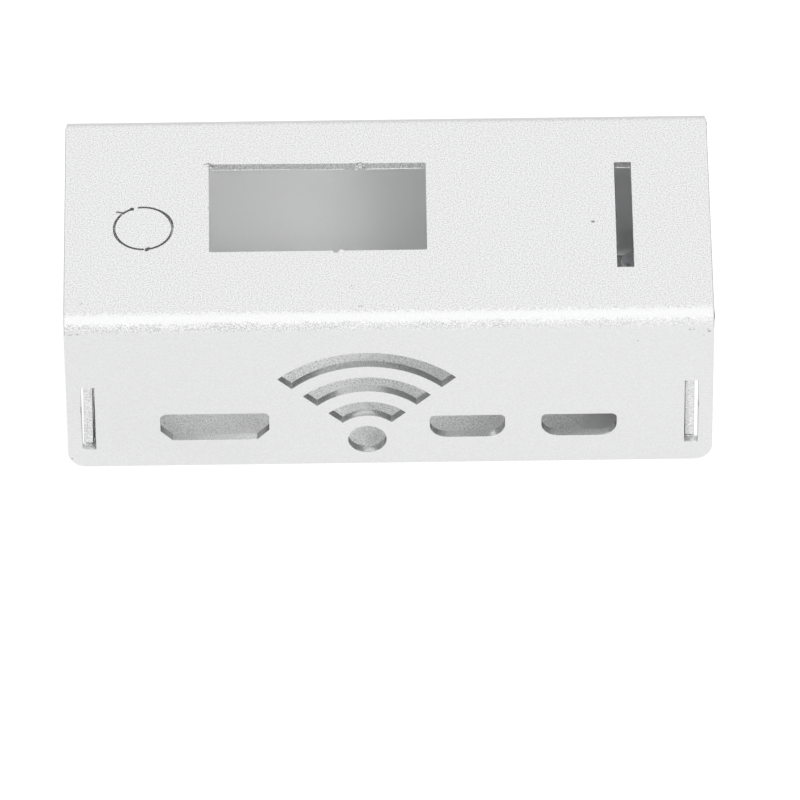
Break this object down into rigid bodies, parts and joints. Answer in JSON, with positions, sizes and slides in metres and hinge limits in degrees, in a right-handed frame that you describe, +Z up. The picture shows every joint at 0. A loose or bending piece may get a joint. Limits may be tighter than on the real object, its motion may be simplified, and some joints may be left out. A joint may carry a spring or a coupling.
{
  "type": "single-board computer case",
  "caption": "Folded aluminium case for a small single-board computer, with a display window, a light slot, a knock-out disc, port openings and a wave-shaped vent.",
  "frame": {"origin": "middle of the base, on the plane that the case stands on", "axes": "+X along the case to the light slot's end, -Y out of the port side, +Z up out of the display window"},
  "size_m": [0.0738, 0.033, 0.0238],
  "materials": {
    "cover_aluminium": "bead-blasted, silver anodised",
    "tray_aluminium": "bead-blasted, silver anodised",
    "standoff_steel": "zinc-plated"
  },
  "bodies": {
    "root": {"cover": "cover_aluminium", "base_tray": "tray_aluminium", "standoff_front_left": "standoff_steel", "standoff_front_right": "standoff_steel", "standoff_back_left": "standoff_steel", "standoff_back_right": "standoff_steel"}
  },
  "joints": []
}
